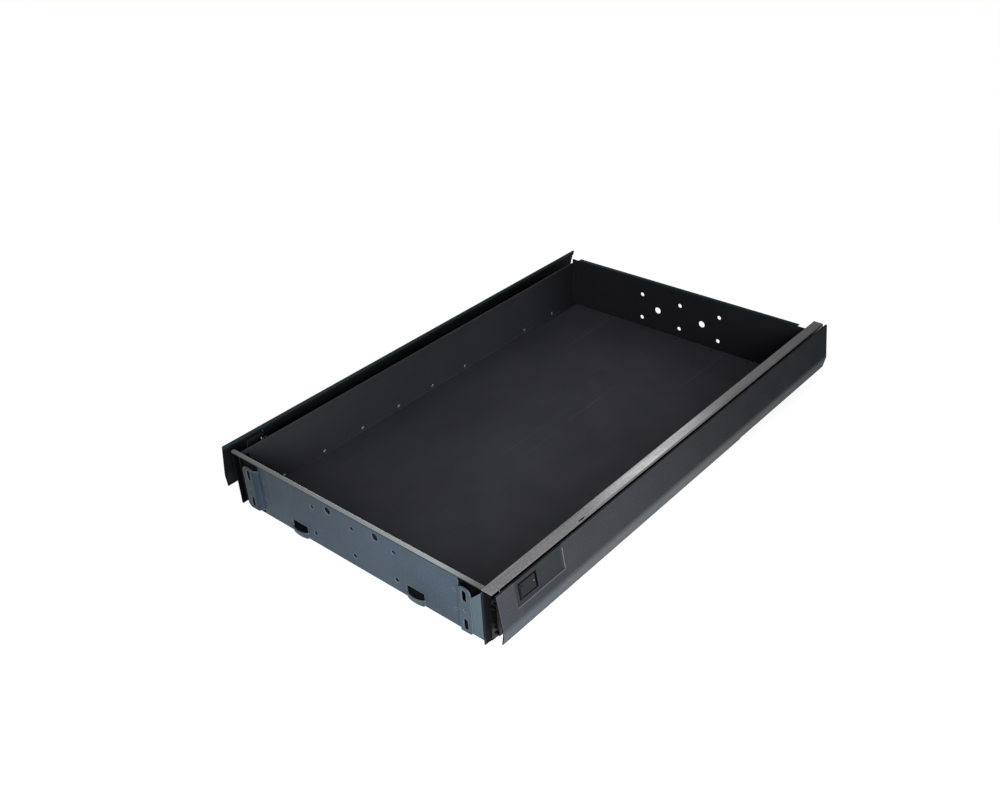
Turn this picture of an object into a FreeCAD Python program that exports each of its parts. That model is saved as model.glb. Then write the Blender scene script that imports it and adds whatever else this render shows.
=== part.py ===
import FreeCAD, Part
import math
import os

# A sheet-metal rack drawer between two side rails. Millimetres.
# +X is to the right seen from the front, +Y runs from the front to the back,
# +Z is up. The origin lies under the middle of the closed assembly.
# Everything on the right-hand side is drawn once and mirrored for the left.

V = FreeCAD.Vector

# ---- overall sizes -------------------------------------------------------
rail_length = 686.0          # side rails, front end to back end
wall_to_wall = 654.0         # outside of the front wall to inside of the back wall
tray_inner_width = 392.6     # between the inner faces of the long walls
rim_height = 78.0            # top of the front and back walls above the base
side_wall_height = 72.4      # top of the long walls above the base
sheet = 1.2                  # sheet thickness of every folded part
bend = 1.0                   # inside bend radius of the folded sheet

# ---- drawer walls --------------------------------------------------------
rim_lip = 5.8                # front-to-back reach of the turned-out top lip
rim_overhang = 3.0           # how far the rim's left end runs past the long wall
rim_end_corner = 3.0         # rounding of that end
rim_clearance = 0.1          # the rim's right end stops short of the long wall's outside
rim_web = 2.6                # depth of the narrow angle past the flat wall
hem_height = 4.8             # folded edge on the inside of the long walls
seam_flange = 14.0           # bottom flange of an end wall under the floor
hole_pitch = 66.0            # small holes, across
hole_row_low = 16.0
hole_row_high = 54.0
small_hole = 6.2
big_hole = 10.0
big_hole_offset = 38.0       # big holes, each side of the centre line
big_hole_front_z = 61.0      # above the top row on the front wall
big_hole_back_z = 35.0       # between the rows on the back wall

# ---- slotted pads at both ends of the front wall ------------------------
pad_center = 173.0
pad_width = 17.0
pad_bottom = 6.3
pad_top = 67.0
pad_top_corner = 8.0
pad_bottom_corner = 5.0
joggle_run = 4.0             # length of the slope between wall and pad
joggle_bend = 0.6
joggle_lead = 1.0            # flat between the end of the wall's fold and the slope
joggle_top = 60.0            # the slope's top edge runs down to here at the wall
slot_width = 6.4
slot_length = 15.2
slot_inset = 0.7             # slots sit this much nearer the middle than the pad
slot_rise = 0.8              # and this much above the rows of small holes
pad_hole = 3.4

# ---- front ends of the long walls -------------------------------------------
flange_gap = 0.8             # between a pad and the right wall's end flange
flange_bottom = 10.0
flange_top_inner = 58.0      # the flange's top edge slopes up towards the wall
flange_top_outer = 71.0

# ---- angles that join the long walls to the end walls ---------------------
corner_lap = 12.0            # how far a front angle lies behind the flat front wall
back_lap = 16.0              # how far a back angle lies along the back wall
angle_leg = 14.0             # the leg along the long wall
angle_low_top = 66.0         # the legs stay below the hem of the long wall
angle_rivet_inset = 8.0      # from an end wall to the rivets in the long wall
angle_clearance = 0.3        # from a front angle's foot to the floor's edge
back_rim_end = 186.0         # the back wall's top lip stops here
corner_rivet_low = 24.0
corner_rivet_high = 50.0

# ---- pressed scoops at the foot of the front wall -----------------------
scoop_center = 94.0
scoop_width = 28.0
scoop_window_top = 18.0
scoop_height = 9.0
scoop_reach = 5.6            # how far the scoop stands out of the wall
scoop_foot = (0.86, 0.45)    # shares of the width and reach at the base
scoop_middle = (0.96, 0.85)  # and at half the height
scoop_overlap = 0.2          # the scoop's root lies this deep in the wall's sheet

# ---- slides --------------------------------------------------------------
slide_thickness = 12.7
slide_center_z = 37.5
member_front_gap = 9.8       # rail end to the front end of the slide members
cabinet_length = 664.0
moving_length = 640.0        # middle and drawer members
middle_inset = 1.0           # middle member's front end behind the other two
ball = 4.6
ball_clearance = 0.1
slide_bend = 0.8             # inside bend radius of the slide members
outer_ball_depth = 3.4       # from the outside of the middle web in to the outer balls
inner_ball_depth = 1.8       # from the drawer channel's tip in to the inner balls
tip_gap = 0.1                # from the drawer channel's tip to the inner cage, past its gap
tip_margin = 0.2             # the cabinet channel's edge runs this far past the balls
cage_sheet = 0.6
cage_bend = 0.3              # inside bend radius of a cage
cage_margin = 0.9            # a cage's edge runs this far past its balls
cage_length = 200.0
cage_start = 200.0           # cage front end behind the slide's front end
balls_per_row = 3
drawer_half = 10.5           # half height of the drawer member's channel
lane = ball + 2 * ball_clearance
middle_half = drawer_half + lane + sheet
cage_gap = 0.5               # from a cage's web to the member beside it

# ---- rivets ---------------------------------------------------------------
rivet_shank = 4.0
rivet_head = 6.0
rivet_rise = 1.0
seam_rivet_pitch = 60.0

# ---- rivets along the foot of the long walls, which hold the slides --------
foot_rivet_shank = 3.2
foot_rivet_head = 5.6
foot_rivet_z = 6.3
foot_rivet_first = 60.0      # behind the front wall
foot_rivet_pitch = 67.3
foot_rivet_count = 9
foot_rivet_left_out = 6      # this place in the row has no rivet
drawer_leg_bottom = 3.0      # the drawer member reaches down behind these rivets

# ---- side shells ----------------------------------------------------------
cover_gap = 3.1              # slot between the right cover rail and the shell
shell_flare = 7.3            # how far the shell leans out down to its bend
shell_bend_z = 33.0
shell_bend = 3.0             # inside radius of that bend
shell_lip_bottom = 18.1
shell_lip_return = 2.2       # how far the lip comes back in below the bend
shell_hem = 7.0              # folded top edge, on the inside
lip_step_at = 450.0          # from the front wall to the step in the lip's edge
lip_step = 1.2
lip_corner_cut = 9.0
shell_end_slant = 6.5        # the back end leans forward from the top to the bend

# ---- cover rail, right-hand side only ------------------------------------
cover_leg_bottom = 44.0
cover_leg_setback = 12.0     # the leg starts this far behind the cover's front end
cover_inner_gap = 0.3        # from the long wall's outside to the cover's edge
cover_slot_at = 141.5        # middle of the small slot, behind the front wall
cover_slot_length = 9.6
cover_slot_width = 1.8
cover_slot_inset = 2.6       # from the cover's outer edge

# ---- stand-off brackets ---------------------------------------------------
bracket_count = 3
bracket_width = 40.0
bracket_margin = 110.0       # from a rail end to the middle of the first bracket
bracket_foot_low = 19.0
bracket_bridge_z = 36.0
bracket_hold = 9.0           # length that lies on the shell
bracket_hole = 5.2           # screw hole through the bridge
bracket_rivet_inset = 8.0    # from a bracket's end to its rivets

# ---- latch pocket ---------------------------------------------------------
pocket_at = 58.5             # middle of the pocket behind the front wall
pocket_length = 76.0
pocket_height = 27.0
pocket_center_z = 61.0
pocket_depth = 2.4
pocket_sheet = 1.0
pocket_taper = 2.4
pocket_wall = 0.9            # share of the pocket's sheet left in its sides
latch_width = 16.0
latch_length = 23.0
latch_gap = 0.8              # slit round the lever
latch_root_at = 52.0         # pivot behind the front wall
latch_barrel = 1.9           # outer radius of the pivot barrel
latch_inset = 0.1            # the lever lies this far below the pocket's floor
latch_nose = (1.0, 1.5)      # length and height of the upstand at the lever's free end
latch_tab = (3.6, 2.0)       # length of the finger tab on the upstand, and its inset at each side
latch_tab_rise = (1.0, 1.9)  # underside and top of that tab above the lever
pivot_drop = 0.6             # pivot's axis below the underside of the pocket
pin_radius = 1.0
pin_clearance = 0.05
knuckle_length = 2.4
spring_wire = 0.6
spring_turns = 2
spring_open = 1.15           # coil pitch as a share of the wire
spring_gap = 0.3             # round the spring, to the pin's side and the lever
spring_leg = 5.0

# ---- stops -----------------------------------------------------------------
bumper_length = 8.0
bumper_gap = 0.3
bumper_side = 0.8            # from the tray wall's outside to the block
bumper_inset = 2.0           # the block is this much lower than the drawer channel at each edge
bumper_corner = 1.5

# ---- rivets that hold the cover rail ---------------------------------------
cover_rivet_z = 52.0
cover_rivet_count = 4
cover_rivet_margin = 60.0

# ---- worked out from the above --------------------------------------------
rail_front = -rail_length / 2
front_y = rail_front + rim_lip                   # outside of the front wall
back_y = front_y + wall_to_wall                  # inside of the back wall
inner_x = tray_inner_width / 2
outer_x = inner_x + sheet                        # outside of the tray's long wall
slide_x = outer_x + slide_thickness              # outside of the cabinet member
cover_x = slide_x + sheet                        # outside of the cover rail's leg
shell_x = cover_x + cover_gap + 2 * sheet        # outside of the shell's top edge
shell_bend_x = shell_x + shell_flare
lip_x = shell_bend_x - shell_lip_return
member_front = rail_front + member_front_gap
lean = math.atan2(shell_flare, rim_height - shell_bend_z)
spring_pitch = spring_wire * spring_open
spring_coil_length = spring_pitch * spring_turns


def box(x0, x1, y0, y1, z0, z1):
    return Part.makeBox(x1 - x0, y1 - y0, z1 - z0, V(x0, y0, z0))


def cyl(radius, start, end):
    axis = end - start
    return Part.makeCylinder(radius, axis.Length, start, axis)


def fuse(solids):
    out = solids[0].multiFuse(solids[1:])
    return out.removeSplitter()


def strip_outline(points, radius, thick=sheet):
    """Closed outline of a folded strip. points is the line of one face;
    the material lies to its left. radius is the inside bend radius."""
    near, far = [], []
    for i, p in enumerate(points):
        if i == 0 or i == len(points) - 1:
            q = points[1] if i == 0 else points[-2]
            d = (q - p) if i == 0 else (p - q)
            d.normalize()
            left = V(-d.y, d.x, 0)
            near.append((p, p, p))
            far.append((p + left * thick,) * 3)
            continue
        a = p - points[i - 1]
        b = points[i + 1] - p
        a.normalize()
        b.normalize()
        turn = a.x * b.y - a.y * b.x
        half = abs(math.atan2(turn, a.dot(b))) / 2
        r_near = radius + thick if turn > 0 else radius
        side = 1 if turn > 0 else -1
        reach = r_near * math.tan(half)
        start = p - a * reach
        end = p + b * reach
        center = start + V(-a.y, a.x, 0) * (side * r_near)
        r_far = radius if turn > 0 else radius + thick
        out = p - center
        out.normalize()
        near.append((start, center + out * r_near, end))
        far.append((center + (start - center) * (r_far / r_near),
                    center + out * r_far,
                    center + (end - center) * (r_far / r_near)))
    edges = []

    def side_edges(corners):
        for i, (start, mid, end) in enumerate(corners):
            if (end - start).Length > 1e-6:
                edges.append(Part.Arc(start, mid, end).toShape())
            if i < len(corners) - 1:
                edges.append(Part.makeLine(end, corners[i + 1][0]))

    side_edges(near)
    edges.append(Part.makeLine(near[-1][2], far[-1][0]))
    back = [(e, m, s) for (s, m, e) in reversed(far)]
    side_edges(back)
    edges.append(Part.makeLine(back[-1][2], near[0][0]))
    return Part.Face(Part.Wire(Part.__sortEdges__(edges)))


def folded(points, y0, y1, radius=bend, thick=sheet):
    """A folded strip whose section lies in XZ and that runs from y0 to y1."""
    face = strip_outline([V(x, z, 0) for x, z in points], radius, thick)
    face.rotate(V(0, 0, 0), V(1, 0, 0), 90)
    face.translate(V(0, y0, 0))
    return face.extrude(V(0, y1 - y0, 0))


def folded_across(points, x0, x1, radius=bend, thick=sheet):
    """A folded strip whose section lies in YZ and that runs from x0 to x1."""
    face = strip_outline([V(y, z, 0) for y, z in points], radius, thick)
    face.rotate(V(0, 0, 0), V(1, 0, 0), 90)
    face.rotate(V(0, 0, 0), V(0, 0, 1), 90)
    face.translate(V(x0, 0, 0))
    return face.extrude(V(x1 - x0, 0, 0))


def slot_tool(x, z, width, length, y0, y1):
    """A tool for an upright slot with round ends, cut along Y."""
    straight = (length - width) / 2
    body = box(x - width / 2, x + width / 2, y0, y1, z - straight, z + straight)
    ends = [cyl(width / 2, V(x, y0, z + s * straight), V(x, y1, z + s * straight)) for s in (-1, 1)]
    return body.fuse(ends[0]).fuse(ends[1])


def rivet(start, direction, grip, shank=rivet_shank, head=rivet_head):
    """A rivet through `grip` of sheet with a low domed head on the near side."""
    d = V(direction)
    d.normalize()
    body = cyl(shank / 2, start, start + d * grip)
    dome_radius = (head ** 2 / 4 + rivet_rise ** 2) / (2 * rivet_rise)
    dome = Part.makeSphere(dome_radius, start + d * (dome_radius - rivet_rise))
    keep = cyl(head / 2, start - d * (rivet_rise + 1), start)
    return body.fuse(dome.common(keep)).removeSplitter()


def mirrored(shape):
    return shape.mirror(V(0, 0, 0), V(1, 0, 0))


def save(name, shapes):
    if isinstance(shapes, list):
        shape = Part.makeCompound(shapes)
    else:
        shape = shapes
    shape.exportStep("parts/%s.step" % name)
    print(name, len(shape.Solids), round(shape.Volume, 1), shape.isValid())


# ---- drawer ---------------------------------------------------------------
floor_bottom = sheet
floor_top = floor_bottom + sheet
pad_front = front_y - rim_lip
pan_front = front_y + sheet                      # the pan starts behind the front wall
pad_inner = pad_center - pad_width / 2
pad_outer = pad_center + pad_width / 2
plate_half = pad_inner - joggle_run - joggle_lead  # half width of the flat front wall
corner_inner = plate_half - corner_lap
foot_z = floor_top + bend                        # where the flat of the long walls begins


def foot_rivet_places():
    places = [i for i in range(foot_rivet_count) if i != foot_rivet_left_out]
    return [front_y + foot_rivet_first + i * foot_rivet_pitch for i in places]


def seam_rivet_places():
    count = int(corner_inner // seam_rivet_pitch)
    return [i * seam_rivet_pitch for i in range(-count, count + 1)]


def seam_rows():
    return (pan_front + seam_flange / 2, back_y - seam_flange / 2)


def seam_rivets(row):
    y = seam_rows()[row]
    return [cyl(rivet_shank / 2, V(x, y, 0), V(x, y, floor_top)) for x in seam_rivet_places()]


def corner_rivets(x, y0, y1, side_y):
    """Flush rivets of two mirrored corner angles, in the end wall and in the long wall."""
    out = []
    for z in (corner_rivet_low, corner_rivet_high):
        for s in (-1, 1):
            out.append(cyl(rivet_shank / 2, V(s * x, y0, z), V(s * x, y1, z)))
            inside = V(s * (inner_x - sheet), side_y, z)
            out.append(cyl(rivet_shank / 2, inside, V(s * outer_x, side_y, z)))
    return out


def front_corner_rivets():
    x = plate_half - corner_lap / 2
    return corner_rivets(x, front_y, pan_front + sheet, pan_front + angle_rivet_inset)


def back_corner_rivets():
    x = inner_x - back_lap / 2
    return corner_rivets(x, back_y - sheet, back_y + sheet, back_y - angle_rivet_inset)


def drawer_rivets():
    """Heads inside the tray, flush in the drawer member's leg."""
    return [rivet(V(inner_x, y, foot_rivet_z), V(1, 0, 0), 2 * sheet, foot_rivet_shank, foot_rivet_head)
            for y in foot_rivet_places()]


def drawer_rivet_holes():
    end = outer_x + 2 * sheet
    return [cyl(foot_rivet_shank / 2, V(inner_x - 1, y, foot_rivet_z), V(end, y, foot_rivet_z))
            for y in foot_rivet_places()]


def pad_cuts(side):
    """Two slots and the small hole between them."""
    x = side * (pad_center - slot_inset)
    y0, y1 = pad_front - 1, pad_front + 2 * sheet
    rows = [z + slot_rise for z in (hole_row_low, hole_row_high)]
    mid_z = sum(rows) / 2
    tools = [slot_tool(x, z, slot_width, slot_length, y0, y1) for z in rows]
    tools.append(cyl(pad_hole / 2, V(x, y0, mid_z), V(x, y1, mid_z)))
    return tools


def corner_angle(plan):
    """An angle inside a corner of the tray; its top steps down before the long wall's hem."""
    face = strip_outline(plan, bend)
    face.translate(V(0, 0, foot_z))
    angle = face.extrude(V(0, 0, side_wall_height - foot_z))
    step = inner_x - sheet - bend
    ys = [p.y for p in plan]
    angle = angle.cut(box(step, inner_x + 1, min(ys) - 1, max(ys) + 1, angle_low_top, rim_height))
    holes = front_corner_rivets() + back_corner_rivets()
    return angle.cut(Part.makeCompound(holes))


def front_corner_angle():
    angle = corner_angle([V(corner_inner, pan_front, 0), V(inner_x, pan_front, 0),
                          V(inner_x, pan_front + angle_leg, 0)])
    # past the flat front wall the leg reaches down to the base, in front of the floor
    foot = box(plate_half + bend, inner_x - sheet - bend, pan_front, pan_front + sheet, 0, foot_z)
    return fuse([angle, foot])


def back_corner_angle():
    return corner_angle([V(inner_x, back_y - angle_leg, 0), V(inner_x, back_y, 0),
                         V(inner_x - back_lap, back_y, 0)])


def end_flange():
    """The right wall's front end, folded inwards beside the pad."""
    flange_inner = pad_outer + flange_gap
    corner = bend + sheet
    leg = 3 * corner
    face = strip_outline([V(flange_inner, pad_front, 0), V(outer_x, pad_front, 0),
                          V(outer_x, pad_front + leg, 0)], bend)
    face.translate(V(0, 0, flange_bottom))
    fold = face.extrude(V(0, 0, flange_top_outer - flange_bottom))
    y = pad_front - 1
    inside, wall = flange_inner - 1, outer_x - corner
    outline = Part.makePolygon([V(inside, y, flange_top_inner), V(flange_inner, y, flange_top_inner),
                                V(wall, y, flange_top_outer), V(wall, y, rim_height),
                                V(inside, y, rim_height), V(inside, y, flange_top_inner)])
    return fold.cut(Part.Face(outline).extrude(V(0, leg, 0)))


def tray_pan():
    path = [(-outer_x, side_wall_height), (-outer_x, floor_bottom),
            (outer_x, floor_bottom), (outer_x, side_wall_height)]
    pan = folded(path, pad_front, back_y)
    hem_inner = inner_x - sheet
    hem_gap = bend + sheet + 1.0
    hem = box(hem_inner, inner_x + sheet / 2, pan_front + hem_gap, back_y - hem_gap,
              side_wall_height - hem_height, side_wall_height)
    # the floor stops short of the front angles and of the bend in the back wall
    for y0, y1 in ((pad_front - 1, pan_front + sheet + angle_clearance), (back_y - bend, back_y + 1)):
        pan = pan.cut(box(-outer_x - 1, outer_x + 1, y0, y1, 0, foot_z))
    # room for the bend of the end flange
    pan = pan.cut(box(inner_x - 1, outer_x + 1, pad_front - 1, pad_front + bend + sheet,
                      flange_bottom, flange_top_outer))
    pan = fuse([pan, end_flange(), hem, mirrored(hem)])
    edges = [e for e in pan.Edges
             if abs(e.BoundBox.ZMin - side_wall_height) < 1e-6 and e.BoundBox.ZLength < 1e-6
             and e.BoundBox.YLength > wall_to_wall / 2
             and min(abs(abs(e.BoundBox.XMin) - x) for x in (hem_inner, outer_x)) < 1e-6]
    pan = pan.makeFillet(sheet * 0.8, edges)
    holes = drawer_rivet_holes()
    tools = front_corner_rivets() + back_corner_rivets() + seam_rivets(0) + seam_rivets(1)
    tools += holes + [mirrored(hole) for hole in holes]
    return pan.cut(Part.makeCompound(tools))


def wall_holes(big_z, y0, y1):
    tools = []
    for x in (-hole_pitch, 0, hole_pitch):
        for z in (hole_row_low, hole_row_high):
            tools.append(cyl(small_hole / 2, V(x, y0, z), V(x, y1, z)))
    for x in (-big_hole_offset, big_hole_offset):
        tools.append(cyl(big_hole / 2, V(x, y0, big_z), V(x, y1, big_z)))
    return tools


def scoop(x):
    """A pressed lip that stands out of the wall like half a cup, open on top."""
    def section(shares, z, inset):
        a = scoop_width / 2 * shares[0] - inset
        b = scoop_reach * shares[1] - inset
        y = front_y + scoop_overlap + inset / 2
        arc = Part.ArcOfEllipse(Part.Ellipse(V(x, y, z), a, b), math.pi, 2 * math.pi).toShape()
        return Part.Wire([arc, Part.makeLine(arc.lastVertex().Point, arc.firstVertex().Point)])

    def cup(inset, bottom, top):
        return Part.makeLoft([section(scoop_foot, bottom, inset),
                              section(scoop_middle, scoop_height / 2, inset),
                              section((1, 1), top, inset)], True)

    shell = cup(0, 0, scoop_height).cut(cup(sheet, sheet, scoop_height + scoop_overlap))
    half = scoop_width
    return shell.cut(box(x - half, x + half, front_y + sheet, back_y, -1, 2 * scoop_height))


def pad():
    """The slope out of the flat front wall and the slotted pad, level with the lip's edge."""
    plan = [V(plate_half - 2, front_y, 0), V(plate_half + joggle_lead, front_y, 0),
            V(pad_inner, pad_front, 0), V(pad_outer, pad_front, 0)]
    body = strip_outline(plan, joggle_bend).extrude(V(0, 0, pad_top - pad_bottom))
    body.translate(V(0, 0, pad_bottom))
    for z, radius in ((pad_top, pad_top_corner), (pad_bottom, pad_bottom_corner)):
        edges = [e for e in body.Edges if e.BoundBox.XMin > pad_outer - 0.01
                 and e.BoundBox.ZLength < 0.01 and e.BoundBox.YLength > sheet / 2
                 and abs(e.BoundBox.ZMin - z) < 0.01]
        body = body.makeFillet(radius, edges)
    y = pad_front - 1
    inside = plate_half - 3
    above = Part.makePolygon([V(inside, y, joggle_top), V(plate_half, y, joggle_top),
                              V(pad_center - slot_inset - slot_width / 2, y, pad_top),
                              V(pad_center, y, rim_height), V(inside, y, rim_height),
                              V(inside, y, joggle_top)])
    return body.cut(Part.Face(above).extrude(V(0, 2 * rim_lip, 0)))


def front_wall():
    lip_z = rim_height - sheet
    rim_left = outer_x + rim_overhang
    rim_right = outer_x - rim_clearance
    # lip turned out on top, wall, and a bottom flange under the floor
    flange_end = pan_front + seam_flange
    plate = folded_across([(pad_front, lip_z), (front_y, lip_z), (front_y, 0), (flange_end, 0)],
                          -plate_half, plate_half)
    # past the plate the lip goes on as a narrow angle
    rim = folded_across([(pad_front, lip_z), (front_y, lip_z), (front_y, lip_z - rim_web)],
                        -rim_left, rim_right)
    end = [e for e in rim.Edges if e.BoundBox.XMax < 0.01 - rim_left
           and e.BoundBox.YMax < pad_front + 0.01 and e.BoundBox.ZLength > sheet / 2]
    rim = rim.makeFillet(rim_end_corner, end)
    wall = fuse([plate, rim, pad(), mirrored(pad())])
    tools = wall_holes(big_hole_front_z, front_y - 1, front_y + sheet + 1) + pad_cuts(1) + pad_cuts(-1)
    half = (scoop_width - sheet) / 2
    for x in (-scoop_center, scoop_center):
        tools.append(box(x - half, x + half, front_y - 0.5, front_y + sheet + 0.5,
                         sheet + bend, scoop_window_top))
    tools += seam_rivets(0) + front_corner_rivets()
    wall = wall.cut(Part.makeCompound(tools))
    for x in (-scoop_center, scoop_center):
        wall = wall.fuse(scoop(x))
    return wall.removeSplitter()


def back_wall():
    lip_z = rim_height - sheet
    outside = back_y + sheet
    path = [(back_y - seam_flange, 0), (outside, 0), (outside, lip_z), (outside + rim_lip, lip_z)]
    wall = folded_across(path, -outer_x, outer_x)
    tools = wall_holes(big_hole_back_z, back_y - 1, back_y + sheet + 1)
    tools += seam_rivets(1) + back_corner_rivets()
    flange_end = inner_x - bend - 1.0
    for side in (-1, 1):
        x0, x1 = sorted((side * flange_end, side * (outer_x + 1)))
        tools.append(box(x0, x1, back_y - seam_flange - 1, back_y, -1, 3 * sheet))
        x0, x1 = sorted((side * back_rim_end, side * (outer_x + 1)))
        tools.append(box(x0, x1, outside, outside + rim_lip + 1, lip_z - bend - 1, rim_height + 1))
    return wall.cut(Part.makeCompound(tools))


# ---- slides ---------------------------------------------------------------
def at_slide(u, v):
    """Section point: u from the tray wall outwards, v up from the slide's middle."""
    return (outer_x + u, slide_center_z + v)


middle_u = slide_thickness - sheet - 2 * cage_gap - cage_sheet         # outside of the middle web
drawer_reach = middle_u - sheet - 2 * cage_gap - cage_sheet - tip_gap  # tip of the drawer channel
outer_ball_u = middle_u - outer_ball_depth
inner_ball_u = drawer_reach - inner_ball_depth
outer_ball_v = middle_half + lane / 2
inner_ball_v = drawer_half + lane / 2


def cabinet_member(with_cover):
    tip = outer_ball_u - ball / 2 - tip_margin
    h = middle_half + lane + sheet
    path = [at_slide(tip, -h), at_slide(slide_thickness, -h),
            at_slide(slide_thickness, h), at_slide(tip, h)]
    y0 = member_front
    body = folded(path, y0, y0 + cabinet_length, slide_bend)
    places = bracket_rivet_places() + (cover_rivet_places() if with_cover else [])
    tools = [cyl(rivet_shank / 2, V(slide_x - 3, y, z), V(slide_x + 3, y, z)) for y, z in places]
    return body.cut(Part.makeCompound(tools))


def middle_member():
    tip = inner_ball_u - ball / 2
    h = middle_half
    path = [at_slide(tip, -h), at_slide(middle_u, -h), at_slide(middle_u, h), at_slide(tip, h)]
    y0 = member_front + middle_inset
    return folded(path, y0, y0 + moving_length, slide_bend)


def drawer_member():
    h = drawer_half
    y0 = member_front
    path = [at_slide(drawer_reach, h), at_slide(0, h), at_slide(0, -h), at_slide(drawer_reach, -h)]
    channel = folded(path, y0, y0 + moving_length, slide_bend)
    leg = box(outer_x, outer_x + sheet, y0, y0 + moving_length,
              drawer_leg_bottom, slide_center_z - h / 2)
    return fuse([channel, leg]).cut(Part.makeCompound(drawer_rivet_holes()))


def ball_rows(u, v):
    pitch = cage_length / balls_per_row
    y0 = member_front + cage_start
    places = []
    for s in (-1, 1):
        x, z = at_slide(u, s * v)
        places += [V(x, y0 + (i + 0.5) * pitch, z) for i in range(balls_per_row)]
    return places


def cage(web_u, ball_u, ball_v):
    """A ball cage: a web with a strip along each row of balls."""
    half = ball_v + cage_sheet / 2
    tip = ball_u - ball / 2 - cage_margin
    path = [at_slide(tip, -half), at_slide(web_u, -half), at_slide(web_u, half), at_slide(tip, half)]
    y0 = member_front + cage_start
    body = folded(path, y0, y0 + cage_length, cage_bend, cage_sheet)
    up = V(0, 0, 1)
    tools = [cyl(ball / 2 + ball_clearance, p - up, p + up) for p in ball_rows(ball_u, ball_v)]
    return body.cut(Part.makeCompound(tools))


def balls(u, v):
    return [Part.makeSphere(ball / 2, p) for p in ball_rows(u, v)]


def outer_cage():
    return cage(slide_thickness - sheet - cage_gap, outer_ball_u, outer_ball_v)


def inner_cage():
    return cage(middle_u - sheet - cage_gap, inner_ball_u, inner_ball_v)


def stop_bumper():
    """Rubber block in the back end of the cabinet member, behind the drawer member."""
    y0 = member_front + middle_inset + moving_length + bumper_gap
    x0, z0 = at_slide(bumper_side, bumper_inset - drawer_half)
    x1, z1 = at_slide(slide_thickness - sheet, drawer_half - bumper_inset)
    block = box(x0, x1, y0, y0 + bumper_length, z0, z1)
    edges = [e for e in block.Edges if e.BoundBox.XMax < x0 + 0.01]
    return block.makeFillet(bumper_corner, edges)


# ---- side rails -----------------------------------------------------------
def shell_face_x(z):
    """Outer face of the leaning part of the shell at height z."""
    return shell_x + (rim_height - z) * math.tan(lean)


def on_shell(s, v, w):
    """s behind the front wall, v up the leaning face from the pocket's middle,
    w out of that face."""
    up = V(-math.sin(lean), 0, math.cos(lean))
    out = V(math.cos(lean), 0, math.sin(lean))
    base = V(shell_face_x(pocket_center_z), front_y + s, pocket_center_z)
    return base + up * v + out * w


def slab(s0, s1, v0, v1, w0, w1):
    """A block aligned with the leaning face."""
    corners = [on_shell(s, v, w0) for s, v in ((s0, v0), (s1, v0), (s1, v1), (s0, v1), (s0, v0))]
    face = Part.Face(Part.makePolygon(corners))
    return face.extrude(on_shell(0, 0, w1) - on_shell(0, 0, w0))


def pocket_loft(grow, w_top, w_bottom):
    def ring(length, height, w):
        s0, s1 = pocket_at - length / 2, pocket_at + length / 2
        corners = [on_shell(s, v, w) for s, v in ((s0, -height / 2), (s1, -height / 2),
                                                  (s1, height / 2), (s0, height / 2), (s0, -height / 2))]
        return Part.makePolygon(corners)
    length = pocket_length + 2 * grow
    height = pocket_height + 2 * grow
    shrink = 2 * pocket_taper
    return Part.makeLoft([ring(length, height, w_top),
                          ring(length - shrink, height - shrink, w_bottom)], True)


def pivot(v):
    depth = -(pocket_depth + pocket_sheet + pivot_drop)
    return on_shell(latch_root_at, v, depth)


def side_shell():
    hem_low = rim_height - shell_hem
    path = [(lip_x, shell_lip_bottom), (shell_bend_x, shell_bend_z), (shell_x, rim_height)]
    shell = folded(path, rail_front, rail_front + rail_length, shell_bend)
    hem_path = [(shell_face_x(hem_low) - sheet / math.cos(lean), hem_low),
                (shell_x - sheet / math.cos(lean), rim_height)]
    hem = folded(hem_path, rail_front, rail_front + rail_length)
    shell = fuse([shell, hem])
    # the lip's lower edge steps up towards the back, and its back corner is cut off
    step_y = front_y + lip_step_at
    rail_back = rail_front + rail_length
    shell = shell.cut(box(lip_x - 5, shell_bend_x + 5, step_y, rail_back + 1,
                          shell_lip_bottom - 2, shell_lip_bottom + lip_step))
    # the back end leans forward below the top edge, more so at the lip
    x = cover_x
    low_y = rail_back - shell_end_slant
    corner = Part.makePolygon([V(x, rail_back, rim_height), V(x, low_y, shell_bend_z),
                               V(x, low_y - lip_corner_cut / 2, shell_lip_bottom - 1),
                               V(x, rail_back + 1, shell_lip_bottom - 1), V(x, rail_back + 1, rim_height),
                               V(x, rail_back, rim_height)])
    shell = shell.cut(Part.Face(corner).extrude(V(shell_bend_x - cover_x + 1, 0, 0)))
    # pressed pocket with a window round the latch lever
    pan = pocket_loft(pocket_sheet * pocket_wall, -0.01, -(pocket_depth + pocket_sheet))
    shell = shell.fuse(pan).cut(pocket_loft(0, 0.01, -pocket_depth))
    half = latch_width / 2 + latch_gap
    s_free = latch_root_at - latch_length - latch_gap
    deep = pocket_depth + pocket_sheet + pivot_drop + 2 * latch_barrel
    shell = shell.cut(slab(s_free, latch_root_at + latch_barrel + latch_gap, -half, half, 1, -deep))
    for side in (-1, 1):
        v0 = side * half
        v1 = side * (half + knuckle_length)
        knuckle = cyl(latch_barrel, pivot(v0), pivot(v1))
        top = -(pocket_depth + pocket_sheet / 2)
        foot = slab(latch_root_at - latch_barrel, latch_root_at + latch_barrel, min(v0, v1), max(v0, v1),
                    -(pocket_depth + pocket_sheet + pivot_drop), top)
        shell = shell.fuse(knuckle.fuse(foot))
    end = half + knuckle_length + 1
    shell = shell.cut(cyl(pin_radius + pin_clearance, pivot(-end), pivot(end)))
    return shell.removeSplitter()


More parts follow.
